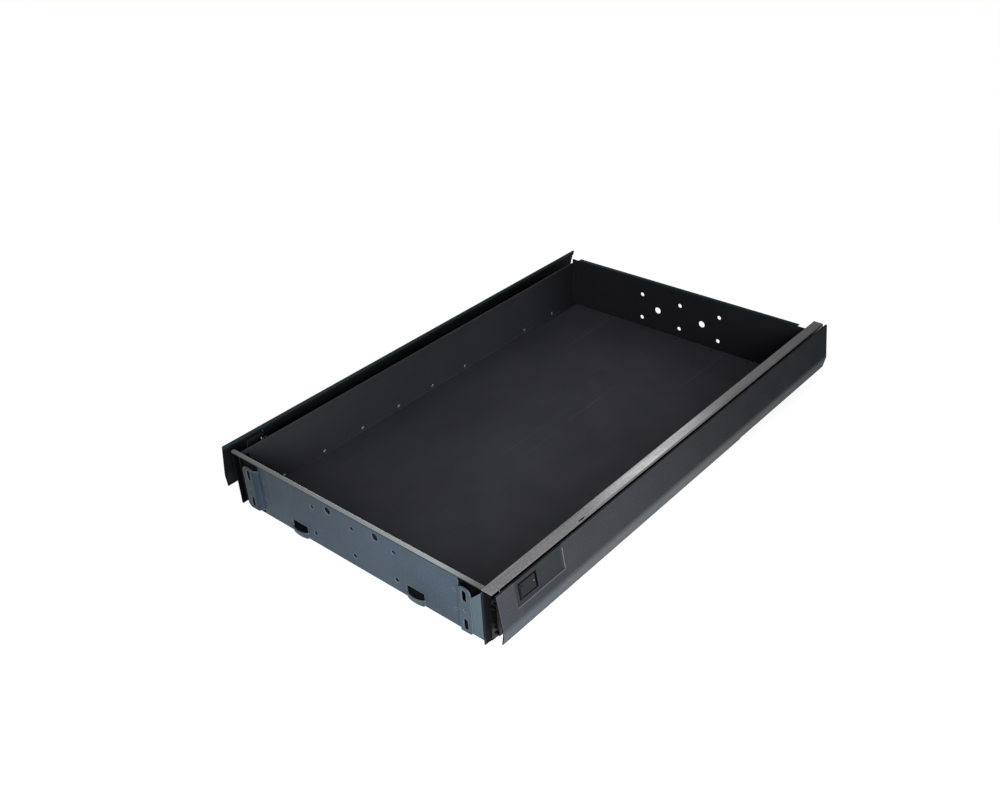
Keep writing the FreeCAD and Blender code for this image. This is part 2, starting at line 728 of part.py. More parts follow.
def latch_lever():
    half = latch_width / 2
    thick = pocket_sheet
    w1 = -pocket_depth - latch_inset
    w0 = w1 - thick
    s_free = latch_root_at - latch_length
    plate = slab(s_free, latch_root_at, -half, half, w0, w1)
    barrel = cyl(latch_barrel, pivot(-half), pivot(half))
    nose = slab(s_free, s_free + latch_nose[0], -half, half, w0, w1 + latch_nose[1])
    tab_half = half - latch_tab[1]
    tab = slab(s_free, s_free + latch_tab[0], -tab_half, tab_half,
               w1 + latch_tab_rise[0], w1 + latch_tab_rise[1])
    lever = fuse([plate, barrel, nose, tab])
    lever = lever.cut(cyl(pin_radius + pin_clearance, pivot(-half - 1), pivot(half + 1)))
    # notch in the middle of the barrel for the spring
    reach = latch_barrel + spring_gap
    half_notch = spring_coil_length / 2 + spring_wire + spring_gap
    notch = slab(latch_root_at - reach, latch_root_at + reach, -half_notch, half_notch, w0 - 6, 1)
    return lever.cut(notch)


def latch_pin():
    half = latch_width / 2 + latch_gap + knuckle_length
    return cyl(pin_radius, pivot(-half), pivot(half))


def latch_spring():
    """A torsion spring round the pin: one leg under the lever, one under the pocket."""
    radius = pin_radius + spring_gap / 2 + spring_wire / 2
    helix = Part.makeHelix(spring_pitch, spring_coil_length, radius)
    along = V(0, 2 * math.pi * radius, spring_pitch)
    along.normalize()
    start, end = V(radius, 0, 0), V(radius, 0, spring_coil_length)
    path = Part.Wire([Part.makeLine(start - along * spring_leg, start)] + helix.Edges
                     + [Part.makeLine(end, end + along * spring_leg)])
    sweep = Part.BRepOffsetAPI.MakePipeShell(path)
    sweep.setBiNormalMode(V(0, 0, 1))
    sweep.add(Part.Wire(Part.makeCircle(spring_wire / 2, start - along * spring_leg, along)))
    sweep.build()
    sweep.makeSolid()
    spring = sweep.shape()
    # the legs' side of the coil faces away from the pocket
    up = on_shell(0, 1, 0) - on_shell(0, 0, 0)
    inward = on_shell(0, 0, -1) - on_shell(0, 0, 0)
    place = FreeCAD.Matrix(inward.x, 0, up.x, 0,
                           inward.y, 1, up.y, 0,
                           inward.z, 0, up.z, 0,
                           0, 0, 0, 1)
    spring = spring.transformed(place)
    spring.translate(pivot(-spring_coil_length / 2))
    return spring


def bracket_places():
    first = rail_front + bracket_margin
    last = rail_front + rail_length - bracket_margin
    gap = (last - first) / (bracket_count - 1)
    return [first + i * gap for i in range(bracket_count)]


def bracket_rivet_places():
    z = (bracket_foot_low + bracket_bridge_z) / 2 - sheet
    offset = bracket_width / 2 - bracket_rivet_inset
    return [(y + dy, z) for y in bracket_places() for dy in (-offset, offset)]


def cover_rivet_places():
    first = member_front + cover_rivet_margin
    gap = (cabinet_length - 2 * cover_rivet_margin) / (cover_rivet_count - 1)
    return [(first + i * gap, cover_rivet_z) for i in range(cover_rivet_count)]


def rail_bracket(y):
    """A stand-off: foot on the cabinet member, hold on the shell's inside."""
    wall = sheet / math.cos(lean)
    bridge = bracket_bridge_z - sheet
    top = bracket_bridge_z + bracket_hold
    path = [(slide_x + sheet, bracket_foot_low), (slide_x + sheet, bridge),
            (shell_face_x(bridge) - wall, bridge), (shell_face_x(top) - wall, top)]
    body = folded(path, y - bracket_width / 2, y + bracket_width / 2)
    tools = [cyl(rivet_shank / 2, V(slide_x - 1, rivet_y, z), V(slide_x + 2 * sheet, rivet_y, z))
             for rivet_y, z in bracket_rivet_places()]
    x = (slide_x + sheet + shell_face_x(bridge) - wall) / 2
    tools.append(cyl(bracket_hole / 2, V(x, y, bridge - 2), V(x, y, bracket_bridge_z + 2)))
    return body.cut(Part.makeCompound(tools))


def outside_rivets(places):
    return [rivet(V(slide_x + sheet, y, z), V(-1, 0, 0), 2 * sheet) for y, z in places]


def cover_rail():
    """The angle that covers the slot above the right-hand slide."""
    path = [(cover_x, cover_leg_bottom), (cover_x, rim_height), (outer_x + cover_inner_gap, rim_height)]
    rail = folded(path, rail_front, rail_front + rail_length)
    y = front_y + cover_slot_at
    x1 = cover_x - cover_slot_inset + cover_slot_width / 2
    slot = box(x1 - cover_slot_width, x1, y - cover_slot_length / 2, y + cover_slot_length / 2,
               rim_height - 2 * sheet, rim_height + 1)
    holes = [cyl(rivet_shank / 2, V(slide_x - 1, rivet_y, z), V(cover_x + 1, rivet_y, z))
             for rivet_y, z in cover_rivet_places()]
    setback = box(outer_x, cover_x + 1, rail_front - 1, rail_front + cover_leg_setback,
                  cover_leg_bottom - 1, rim_height - sheet)
    return rail.cut(Part.makeCompound([slot, setback] + holes))


# ---- write the parts ------------------------------------------------------
os.makedirs("parts", exist_ok=True)

save("tray_pan", tray_pan())
save("front_wall", front_wall())
save("back_wall", back_wall())
save("front_seam_rivets", seam_rivets(0))
save("back_seam_rivets", seam_rivets(1))
save("front_corner_rivets", front_corner_rivets())
save("back_corner_rivets", back_corner_rivets())

right_parts = {
    "front_corner_angle": [front_corner_angle()],
    "back_corner_angle": [back_corner_angle()],
    "drawer_rivets": drawer_rivets(),
    "drawer_member": [drawer_member()],
    "middle_member": [middle_member()],
    "outer_cage": [outer_cage()],
    "inner_cage": [inner_cage()],
    "outer_balls": balls(outer_ball_u, outer_ball_v),
    "inner_balls": balls(inner_ball_u, inner_ball_v),
    "stop_bumper": [stop_bumper()],
    "side_shell": [side_shell()],
    "latch_lever": [latch_lever()],
    "latch_pin": [latch_pin()],
    "latch_spring": [latch_spring()],
    "bracket_rivets": outside_rivets(bracket_rivet_places()),
}
for number, place in enumerate(bracket_places(), 1):
    right_parts["rail_bracket_%d" % number] = [rail_bracket(place)]

for name, solids in right_parts.items():
    save(name + "_right", solids)
    save(name + "_left", [mirrored(s) for s in solids])

save("cabinet_member_right", cabinet_member(True))
save("cabinet_member_left", mirrored(cabinet_member(False)))
save("cover_rail_right", cover_rail())
save("cover_rivets_right", outside_rivets(cover_rivet_places()))
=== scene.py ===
# %% [markdown]
# A sliding rack drawer: a shallow folded steel tray between two flared side rails, carried on
# ball-bearing slides. The metal parts come ready-made from the engineering model, so this lesson
# is about the finish: how powder coat, plating and bare steel are told apart.

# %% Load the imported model
import bpy
from mathutils import Matrix, Vector


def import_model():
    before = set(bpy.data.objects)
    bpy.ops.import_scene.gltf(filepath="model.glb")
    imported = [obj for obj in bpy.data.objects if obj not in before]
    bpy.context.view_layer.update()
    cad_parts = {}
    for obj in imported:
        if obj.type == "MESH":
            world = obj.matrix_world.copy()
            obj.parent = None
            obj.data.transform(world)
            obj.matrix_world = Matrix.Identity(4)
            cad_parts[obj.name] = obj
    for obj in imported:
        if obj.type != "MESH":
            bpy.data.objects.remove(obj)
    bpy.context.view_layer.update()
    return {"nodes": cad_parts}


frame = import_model()
nodes = frame["nodes"]

# %% [markdown]
# The camera looks down on the drawer from beyond its front right corner, with a lens of about
# 40 mm. Its place is given in metres in the model's own frame, and its three directions are
# written out, so nothing has to be tracked or aimed.

# %% Camera
def look_from(place, right, down, forward, lens):
    data = bpy.data.cameras.new("camera")
    data.sensor_width = 36.0
    data.lens = lens
    data.clip_start = 0.05
    data.clip_end = 50.0
    camera = bpy.data.objects.new("camera", data)
    bpy.context.scene.collection.objects.link(camera)
    turn = Matrix((right, -down, -forward)).transposed()
    camera.matrix_world = Matrix.Translation(place) @ turn.to_4x4()
    bpy.context.scene.camera = camera
    return camera

camera = look_from(
    place=(0.77147, -0.92426, 0.79823),
    right=Vector((0.75631, 0.65226, -0.05057)),
    down=Vector((0.31104, -0.42651, -0.84932)),
    forward=Vector((-0.57554, 0.62662, -0.52545)),
    lens=39.593,
)
print("camera at", tuple(round(v, 3) for v in camera.location))

# %% [markdown]
# Every sheet of the real drawer is coated or plated, and each finish is built the same way: a
# few noise patterns drive colour, gloss and a fine bump. These helpers keep each finish short.
# They read Object coordinates, so a pattern keeps its size in metres and stays put when a piece
# moves.

# %% Noise helpers
def start_material(name):
    material = bpy.data.materials.new(name)
    material.use_nodes = True
    tree = material.node_tree
    shader = tree.nodes["Principled BSDF"]
    place = tree.nodes.new("ShaderNodeTexCoord")
    return material, tree, shader, place.outputs["Object"]

def stretched(tree, place, scale):
    node = tree.nodes.new("ShaderNodeMapping")
    node.inputs["Scale"].default_value = scale
    tree.links.new(place, node.inputs["Vector"])
    return node.outputs["Vector"]

def noise(tree, place, scale, detail, roughness=0.5):
    node = tree.nodes.new("ShaderNodeTexNoise")
    node.inputs["Scale"].default_value = scale
    node.inputs["Detail"].default_value = detail
    node.inputs["Roughness"].default_value = roughness
    tree.links.new(place, node.inputs["Vector"])
    return node.outputs["Fac"]

def bump(tree, shader, height, strength, distance):
    node = tree.nodes.new("ShaderNodeBump")
    node.inputs["Strength"].default_value = strength
    node.inputs["Distance"].default_value = distance
    tree.links.new(height, node.inputs["Height"])
    tree.links.new(node.outputs["Normal"], shader.inputs["Normal"])

print("noise helpers ready")

# %% [markdown]
# A noise hardly ever reaches 0 or 1, and most of it lies between about 0.35 and 0.65. `spread`
# stretches that middle part to whatever low and high value a finish needs. `faded` does the same
# for a value that already runs from 0 to 1. The mixes lay one colour or value over another, by a
# factor of the same kind.

# %% Value and colour helpers
def spread(tree, value, low, high, from_low=0.35, from_high=0.65):
    node = tree.nodes.new("ShaderNodeMapRange")
    node.inputs["From Min"].default_value = from_low
    node.inputs["From Max"].default_value = from_high
    node.inputs["To Min"].default_value = low
    node.inputs["To Max"].default_value = high
    tree.links.new(value, node.inputs["Value"])
    return node.outputs["Result"]

def faded(tree, value, at_zero, at_one):
    return spread(tree, value, at_zero, at_one, from_low=0.0, from_high=1.0)

def combined(tree, operation, values):
    result = values[0]
    for value in values[1:]:
        node = tree.nodes.new("ShaderNodeMath")
        node.operation = operation
        tree.links.new(result, node.inputs[0])
        tree.links.new(value, node.inputs[1])
        result = node.outputs["Value"]
    return result

def times(tree, *values):
    return combined(tree, "MULTIPLY", values)

def plus(tree, *values):
    return combined(tree, "ADD", values)

def largest(tree, *values):
    return combined(tree, "MAXIMUM", values)

def tint(colour, factor, lift=0.0):
    return [channel * factor + lift for channel in colour]

def colour_over(tree, factor, colour):
    node = tree.nodes.new("ShaderNodeMix")
    node.data_type = "RGBA"
    node.inputs["B"].default_value = (*colour, 1.0)
    tree.links.new(factor, node.inputs["Factor"])
    return node

def two_tone(tree, factor, first, second):
    node = colour_over(tree, factor, second)
    node.inputs["A"].default_value = (*first, 1.0)
    return node.outputs["Result"]

def blend_in(tree, colour, factor, other):
    node = colour_over(tree, factor, other)
    tree.links.new(colour, node.inputs["A"])
    return node.outputs["Result"]

def blend_value(tree, value, factor, other):
    node = tree.nodes.new("ShaderNodeMix")
    node.inputs["B"].default_value = other
    tree.links.new(value, node.inputs["A"])
    tree.links.new(factor, node.inputs["Factor"])
    return node.outputs["Result"]

print("value and colour helpers ready")

# %% [markdown]
# Some pieces carry two colours: the end strip beside the front wall is part of the black tray,
# but it is painted a light blue-grey, lighter than the wall, as painted light for the lamps'
# light on it. A band picks out such a place. It is 1 on one side of a height, width or depth in
# the object's own coordinates and 0 on the other, with a soft edge, and bands are multiplied to
# make a patch. x runs to the right, y to the back and z up, in metres from the middle of the
# underside. Facing up, forward or inward is found in the same way from the surface's own
# direction.

# %% Bands
soft_edge = 0.0006

def part_of(tree, output, axis):
    place = tree.nodes.new("ShaderNodeTexCoord")
    node = tree.nodes.new("ShaderNodeSeparateXYZ")
    tree.links.new(place.outputs[output], node.inputs["Vector"])
    return node.outputs[axis]

def after(tree, axis, edge, soft=soft_edge, output="Object"):
    return spread(tree, part_of(tree, output, axis), 0.0, 1.0, edge, edge + soft)

def before(tree, axis, edge, soft=soft_edge, output="Object"):
    return spread(tree, part_of(tree, output, axis), 1.0, 0.0, edge - soft, edge)

def between(tree, axis, low, high, soft=soft_edge):
    return times(tree, after(tree, axis, low, soft), before(tree, axis, high, soft))

def facing_up(tree):
    return after(tree, "Z", 0.8, soft=0.15, output="Normal")

def facing_right(tree):
    return after(tree, "X", 0.85, soft=0.1, output="Normal")

def facing_forward(tree):
    return before(tree, "Y", -0.8, soft=0.15, output="Normal")

# Left of the middle both x and an outward direction are negative, so their product is positive
# on every outer side and negative on every inner one.
def outwardness(tree):
    return times(tree, part_of(tree, "Object", "X"), part_of(tree, "Normal", "X"))

def facing_inward(tree):
    return spread(tree, outwardness(tree), 1.0, 0.0, from_low=-0.01, from_high=0.0)

def facing_outward(tree):
    return spread(tree, outwardness(tree), 0.0, 1.0, from_low=0.05, from_high=0.06)

print("bands are", soft_edge * 1000, "mm soft unless they say otherwise")

# %% [markdown]
# Cut edges and slots wear first, because hands and tools touch them. The Bevel node gives the
# direction that a surface would have if its edges were rounded. Where that differs from the real
# direction there is an edge nearby, and the coat there is thinner and paler; the pale colour is
# also a painted highlight, for the light that a rounded edge would catch. The two directions are
# compared by their dot product, which is 1 where they agree.

# %% Worn edges with a painted highlight
def worn_and_lit_edge(tree, width=0.0016):
    rounded = tree.nodes.new("ShaderNodeBevel")
    rounded.samples = 6
    rounded.inputs["Radius"].default_value = width
    flat = tree.nodes.new("ShaderNodeNewGeometry")
    alike = tree.nodes.new("ShaderNodeVectorMath")
    alike.operation = "DOT_PRODUCT"
    tree.links.new(rounded.outputs["Normal"], alike.inputs[0])
    tree.links.new(flat.outputs["Normal"], alike.inputs[1])
    return spread(tree, alike.outputs["Value"], low=0.8, high=0.0, from_low=0.75, from_high=0.98)

print("worn edges ready")

# %% [markdown]
# Powder coat is a thick paint. It flows a little as it bakes, which leaves a fine orange peel.
# Boxes slid in and out leave long faint scratches from front to back, and hands leave slightly
# glossier patches. The scratches are thin slices of a noise stretched along the drawer, so they
# cost nothing in geometry and never repeat. The coarser coat on the side rails has a sandy
# speckle as well.
#
# `patches` lists other colours for parts of a piece, each with the band that picks it out. A
# tenth of the coat still shows in most of them, so that they keep its unevenness. Plain black,
# which is painted deep shade, covers fully.

# %% Powder coat
# black and dark are painted deep shade: the patches that use them, and the corner angles' coat,
# darken gaps, slits, hollows and faces turned from the lamps to stand for the shade there
black = (0.0015, 0.0015, 0.002)
dark = (0.0025, 0.0025, 0.003)
patch_cover = 0.9
along_drawer = (260.0, 3.0, 260.0)

def powder_coat(name, colour, roughness=0.62, gloss=0.03, scratches=0.25, speckle=0.0,
                patches=(), edges=None):
    material, tree, shader, place = start_material(name)
    cloud = spread(tree, noise(tree, place, scale=7.0, detail=4.0), 0.0, 1.0)
    base = two_tone(tree, cloud, tint(colour, 0.9), tint(colour, 1.1))
    if speckle:
        sand = noise(tree, place, scale=900.0, detail=1.0)
        grains = spread(tree, sand, 0.0, speckle, from_low=0.5, from_high=0.62)
        base = blend_in(tree, base, grains, tint(colour, 1.9))
    run = noise(tree, stretched(tree, place, along_drawer), scale=1.0, detail=2.0)
    scratch = spread(tree, run, 0.0, scratches, from_low=0.68, from_high=0.74)
    base = blend_in(tree, base, scratch, tint(colour, 1.9, lift=0.01))
    if edges:
        base = blend_in(tree, base, worn_and_lit_edge(tree), edges)
    for band, other in patches:
        cover = 1.0 if other == black else patch_cover
        base = blend_in(tree, base, faded(tree, band(tree), 0.0, cover), other)
    tree.links.new(base, shader.inputs["Base Color"])
    hands = noise(tree, place, scale=24.0, detail=5.0)
    shine = spread(tree, hands, roughness - 0.05, roughness + 0.06)
    tree.links.new(shine, shader.inputs["Roughness"])
    shader.inputs["Specular IOR Level"].default_value = gloss
    peel = noise(tree, place, scale=1400.0 - 900.0 * speckle, detail=2.0)
    bump(tree, shader, peel, strength=0.3 + 0.4 * speckle, distance=0.0002)
    return material

print("powder coat ready")

# %% [markdown]
# The tray is black, and five places on it differ. Its right end strip, beside the front wall, is
# painted a light blue-grey, which is painted light. A black band is painted on the floor along
# the foot of the front wall, as painted shade. The left wall's near end, its far corner and the
# outer sides of the tray are painted darker than the rest, as painted shade. The back wall is a
# piece of its own with a coat painted darker, as painted shade, and its lip is painted a dark
# teal, also painted shade.

# %% Tray and back wall coats
# painted light: the right end strip of the black tray is painted a light blue-grey for the lamps'
# light on it
def lit_end_strip(tree):
    return times(tree, after(tree, "X", 0.17), before(tree, "Y", -0.340))

def on_left_wall(tree):
    return before(tree, "X", -0.19)

# painted shade: the left wall's near end is painted black
def left_wall_end_shade(tree):
    return times(tree, on_left_wall(tree), before(tree, "Y", -0.3355))

# painted shade: a black band on the floor along the foot of the front wall
def seam_shade(tree):
    return times(tree, before(tree, "Y", -0.286, soft=0.03), between(tree, "Z", 0.0015, 0.004))

# painted shade: the left wall's far corner is painted darker
def left_far_corner_shade(tree):
    return times(tree, on_left_wall(tree), after(tree, "Y", 0.20, soft=0.12))

# painted shade: the back wall's lip is painted a dark teal
def back_lip(tree):
    return after(tree, "Z", 0.0755)

coats = {
    "tray": powder_coat("black_coat", (0.031, 0.0313, 0.0365), patches=[
        (lit_end_strip, (0.074, 0.103, 0.121)),
        (seam_shade, black),
        (left_wall_end_shade, black),
        (left_far_corner_shade, (0.008, 0.008, 0.010)),
        # painted shade: the tray's outer sides are painted dark
        (facing_outward, dark),
    ]),
    # painted shade: the back wall's coat is painted darker than the tray's
    "back": powder_coat("back_coat", (0.012, 0.012, 0.014), patches=[
        (back_lip, (0.006, 0.011, 0.013)),
    ]),
}
print("coats so far:", ", ".join(coats))

# %% [markdown]
# The side shells have the most tones. Above the bend in their leaning face they are painted
# darker towards the back, as painted shade where the lamps' light falls off. Below it they are
# painted paler, and paler still away from the near end, as painted light reflected up from the
# white floor. The latch pocket is pressed into that face. Along it the shell is painted a shade
# darker, as painted shade, the slit round the lever is painted black, also painted shade, and the
# pocket's lower and far edges are painted as bright lines, a painted highlight where its rims
# catch the light.

# %% Side shell patches
bend_height = 0.038
pocket_near, pocket_far, pocket_foot = -0.3167, -0.2408, 0.0475
lever_window = {"y": (-0.3103, -0.2812), "z": (0.0510, 0.0710)}
lower_line = {"y": (-0.316, -0.241), "z": (0.0469, 0.0480)}
far_line = {"y": (-0.2413, -0.2402), "z": (pocket_foot, 0.074)}

def on_side(tree, y, z, soft=soft_edge):
    return times(tree, between(tree, "Y", *y, soft), between(tree, "Z", *z, soft))

# painted shade: the shells are painted darker towards the back
def shade_towards_back(tree):
    return after(tree, "Y", -0.1, soft=0.42)

# painted light: below the bend the shells are painted paler, for light reflected up from the
# white floor
def floor_light_below_bend(tree):
    low = before(tree, "Z", bend_height, soft=0.008)
    return times(tree, low, before(tree, "Y", 0.85, soft=1.2))

# painted light: the band below the bend is painted paler still away from the near end
def more_floor_light_to_back(tree):
    return times(tree, floor_light_below_bend(tree), after(tree, "Y", -0.32, soft=0.3))

# painted shade: the shell is painted darker along the latch pocket
def pocket_shade(tree):
    along = between(tree, "Y", pocket_near, pocket_far)
    return times(tree, after(tree, "Z", pocket_foot), along)

# painted shade: the slit round the lever is painted black
def lever_slit_shade(tree):
    return on_side(tree, **lever_window, soft=0.0003)

# painted highlight: the pocket's lower and far rims are painted as bright lines
def pocket_edge_highlight(tree):
    return largest(tree, on_side(tree, **lower_line), on_side(tree, **far_line))

print("pocket:", round((pocket_far - pocket_near) * 1000, 1), "mm long")

# %% [markdown]
# The right shell's top edge lies in the gap beside the cover and is painted black, as painted
# shade. The top of the left one is painted a dull teal, a painted light for the lamps' light on
# its top edge and the upper part of its inner side. The inner sides and the ends that face
# forward are painted dark, as painted shade. The levers are a little glossier than the shells,
# because fingers polish them, and the front corner angles have a black dipped coat with hardly a
# scratch; its near-zero black is also painted shade, for the hollow behind the front wall where
# they sit.

# %% Side shell, lever and corner angle coats
# painted shade: the right shell's top edge, in the gap beside the cover, is painted black
def right_top_edge_shade(tree):
    top = times(tree, facing_up(tree), after(tree, "Z", 0.0765))
    return times(tree, top, after(tree, "X", 0.0))

# painted light: the top of the left shell is painted a dull teal for the light on its top edge
def left_top_lit_band(tree):
    return times(tree, before(tree, "X", 0.0), after(tree, "Z", 0.0735, soft=0.001))

shell_patches = [
    (shade_towards_back, (0.014, 0.015, 0.018)),
    (floor_light_below_bend, (0.080, 0.093, 0.106)),
    (more_floor_light_to_back, (0.180, 0.183, 0.185)),
    (pocket_shade, (0.024, 0.028, 0.031)),
    (lever_slit_shade, black),
    (pocket_edge_highlight, (0.14, 0.15, 0.16)),
    # painted shade: the shells' inner sides are painted dark
    (facing_inward, dark),
    (right_top_edge_shade, black),
    # painted shade: the shells' forward-facing ends are painted black
    (facing_forward, black),
    (left_top_lit_band, (0.024, 0.035, 0.038)),
]
coats["shell"] = powder_coat("rail_coat", (0.034, 0.036, 0.041), roughness=0.6, scratches=0.12,
                             speckle=0.3, patches=shell_patches, edges=(0.10, 0.11, 0.12))
coats["latch"] = powder_coat("lever_coat", (0.013, 0.015, 0.017), roughness=0.5, gloss=0.08,
                             scratches=0.12)
# the corner angles' near-black coat is partly painted shade, for the hollow behind the front wall
coats["angle"] = powder_coat("dip_coat_and_shade", black, roughness=0.6, scratches=0.03)
print("coats:", ", ".join(coats))

# %% [markdown]
# The front wall and the cover angle on the right rail are sheet with a thin conversion coat,
# blue-grey on the wall and plain grey on the cover. The sheet keeps the rolling mill's cloudy
# streaks, upright on the front wall because of the way the blank was cut, and along the rail on
# the cover. A little metallic share gives the soft sheen that paint doesn't have. A lip's flat
# top gets two painted tones: a dull pale one all along, a painted sheen for the light on the
# upward face, and a bright one that grows to the right and stops short of the corner, a painted
# highlight. Edges turn pale, from wear and as a painted highlight, only below `edge_limit`, so
# that the rims of the small holes above it keep their colour.

# %% Grey sheet
edge_limit = 0.066
lip_top = 0.0770

# painted highlight: the band of the lip's top that is painted brightest
def lip_highlight(tree):
    return times(tree, after(tree, "X", -0.2, soft=0.32), before(tree, "X", 0.19, soft=0.05))

def grey_sheet(name, colour, streak, roughness, metal, gloss, patches=(), lip_sheen=None,
               edges=None):
    material, tree, shader, place = start_material(name)
    cloud = spread(tree, noise(tree, place, scale=11.0, detail=5.0), 0.0, 1.0)
    base = two_tone(tree, cloud, tint(colour, 0.80), tint(colour, 1.16))
    lines = noise(tree, stretched(tree, place, streak), scale=1.0, detail=4.0, roughness=0.65)
    base = blend_in(tree, base, spread(tree, lines, 0.0, 0.45), tint(colour, 1.28))
    grain = noise(tree, place, scale=480.0, detail=2.0)
    specks = spread(tree, grain, 0.0, 0.4, from_low=0.5, from_high=0.62)
    base = blend_in(tree, base, specks, tint(colour, 1.7))
    shine = spread(tree, lines, roughness - 0.05, roughness + 0.07)
    for band, other in patches:
        base = blend_in(tree, base, band(tree), other)
    if edges:
        # pale edges below edge_limit: partly wear, partly a painted highlight
        pale_edges = times(tree, worn_and_lit_edge(tree), before(tree, "Z", edge_limit))
        base = blend_in(tree, base, pale_edges, edges)
    # painted light: the lip's top is painted paler, and brightest where the highlight falls
    if lip_sheen:
        dull, bright = lip_sheen
        top = times(tree, facing_up(tree), after(tree, "Z", lip_top))
        base = blend_in(tree, base, top, dull)
        base = blend_in(tree, base, times(tree, top, lip_highlight(tree)), bright)
        shine = blend_value(tree, shine, top, 0.34)
    tree.links.new(base, shader.inputs["Base Color"])
    tree.links.new(shine, shader.inputs["Roughness"])
    shader.inputs["Metallic"].default_value = metal
    shader.inputs["Specular IOR Level"].default_value = gloss
    bump(tree, shader, grain, strength=0.25, distance=0.0001)
    return material

print("grey sheet ready")

# %% [markdown]
# The front wall is painted darker to the left and on its left pad, and its lip and what is just
# under it are painted black apart from the lip's top; all of this is painted shade. Its rivets
# have the same finish without the pale edges, which would turn their small heads white. The cover
# is painted darker towards the back, and its outer side is painted black, both as painted shade.

# %% Front wall and cover sheets
# painted shade: the front wall's lip and the strip just under it are painted black
def shade_under_lip(tree):
    return after(tree, "Z", 0.0698)

# painted shade: the front wall is painted darker to the left
def left_side_shade(tree):
    return times(tree, before(tree, "X", 0.02, soft=0.2), after(tree, "Z", 0.012, soft=0.03))

# painted shade: the front wall's left pad is painted darker
def left_pad_shade(tree):
    return before(tree, "X", -0.160, soft=0.006)

# painted shade: the cover is painted darker towards the back
def cover_shade_to_back(tree):
    return after(tree, "Y", -0.02, soft=0.34)

front_blank = {
    "colour": (0.034, 0.053, 0.074), "streak": (240.0, 240.0, 14.0),
    "roughness": 0.42, "metal": 0.2, "gloss": 0.15,
    "patches": [(left_side_shade, (0.025, 0.039, 0.055)), (left_pad_shade, (0.017, 0.029, 0.036)),
                (shade_under_lip, black)],
}
sheets = {
    "front": grey_sheet("front_sheet", **front_blank, edges=(0.22, 0.25, 0.26),
                        lip_sheen=((0.085, 0.094, 0.088), (0.28, 0.30, 0.305))),
    "front_rivet": grey_sheet("front_rivet_sheet", **front_blank),
    "cover": grey_sheet("cover_sheet", (0.130, 0.129, 0.133), streak=(240.0, 10.0, 240.0),
                        roughness=0.19, metal=0.3, gloss=0.3,
                        # painted shade: the cover's outer side is painted black
                        patches=[(cover_shade_to_back, (0.035, 0.034, 0.037)), (facing_right, black)]),
}
print("sheets:", ", ".join(sheets))

# %% [markdown]
# The slides, the brackets and the rivets of the brackets and the cover are black plated, which
# leaves the steel's drawn lines showing in a dark sheen. The rivets that hold the tray to its
# slides are zinc plated with a blue-green passivation, and the latch pins are plain zinc. The
# balls are bare hardened steel, and the latch springs are oiled spring steel.

# %% Plated and bare steel
along_slide = (60.0, 1.0, 60.0)
all_ways = (40.0, 40.0, 40.0)

def drawn_steel(name, colour, roughness, stretch=all_ways, metal=1.0):
    material, tree, shader, place = start_material(name)
    lines = noise(tree, stretched(tree, place, stretch), scale=18.0, detail=4.0, roughness=0.6)
    tone = two_tone(tree, spread(tree, lines, 0.0, 1.0), tint(colour, 0.78), colour)
    shine = spread(tree, lines, roughness - 0.06, roughness + 0.08)
    tree.links.new(tone, shader.inputs["Base Color"])
    tree.links.new(shine, shader.inputs["Roughness"])
    shader.inputs["Metallic"].default_value = metal
    bump(tree, shader, lines, strength=0.2, distance=0.0001)
    return material

steels = {
    "black": drawn_steel("black_plate", (0.010, 0.010, 0.011), 0.45, along_slide, metal=0.6),
    "teal": drawn_steel("blue_passivated_zinc", (0.16, 0.30, 0.36), 0.36, metal=0.8),
    "zinc": drawn_steel("zinc_plate", (0.50, 0.51, 0.52), 0.34),
    "bare": drawn_steel("hardened_steel", (0.62, 0.62, 0.63), 0.16),
    "spring": drawn_steel("oiled_spring_steel", (0.16, 0.16, 0.17), 0.3),
}
print("steels:", ", ".join(steels))

# %% [markdown]
# Each slide ends in a rubber block. Moulded rubber is nearly black, fully matt and slightly
# grainy, so the noise is fine and the roughness high.

# %% Rubber
def rubber_finish():
    material, tree, shader, place = start_material("stop_rubber")
    grain = noise(tree, place, scale=900.0, detail=3.0)
    tone = two_tone(tree, grain, (0.016, 0.016, 0.017), (0.03, 0.03, 0.03))
    tree.links.new(tone, shader.inputs["Base Color"])
    tree.links.new(spread(tree, grain, 0.7, 0.85), shader.inputs["Roughness"])
    bump(tree, shader, grain, strength=0.4, distance=0.0002)
    return material

rubber = rubber_finish()
print("rubber:", rubber.name)

# %% [markdown]
# The pieces come from the model already shaped, so finishing them is a matter of naming. The
# first matching start of a name wins, and everything else is black plated.

# %% Put each finish on its nodes
finishes = [
    (("front_wall",), sheets["front"]),
    (("front_seam_rivets", "front_corner_rivets"), sheets["front_rivet"]),
    (("cover_rail",), sheets["cover"]),
    (("front_corner_angle",), coats["angle"]),
    (("tray_pan",), coats["tray"]),
    (("back_",), coats["back"]),
    (("side_shell",), coats["shell"]),
    (("latch_lever",), coats["latch"]),
    (("drawer_rivets",), steels["teal"]),
    (("latch_pin",), steels["zinc"]),
    (("latch_spring",), steels["spring"]),
    (("outer_balls", "inner_balls"), steels["bare"]),
    (("stop_bumper",), rubber),
]

def finish_for(name):
    for starts, material in finishes:
        if name.startswith(starts):
            return material
    return steels["black"]

for name, node in nodes.items():
    node.data.materials.clear()
    node.data.materials.append(finish_for(name))
print("finished", len(nodes), "nodes")

# %% [markdown]
# The drawer stands on a plain white sheet that runs out of sight. Seen by the camera or in a
# reflection, most of the sheet's white near the drawer is its own glow and the rest is the light
# that falls on it, so it stays white and still takes a soft shadow. Further out it glows plain
# white. For all other rays it is white paint, which bounces light up on the front wall and on the
# rails' lower edges.

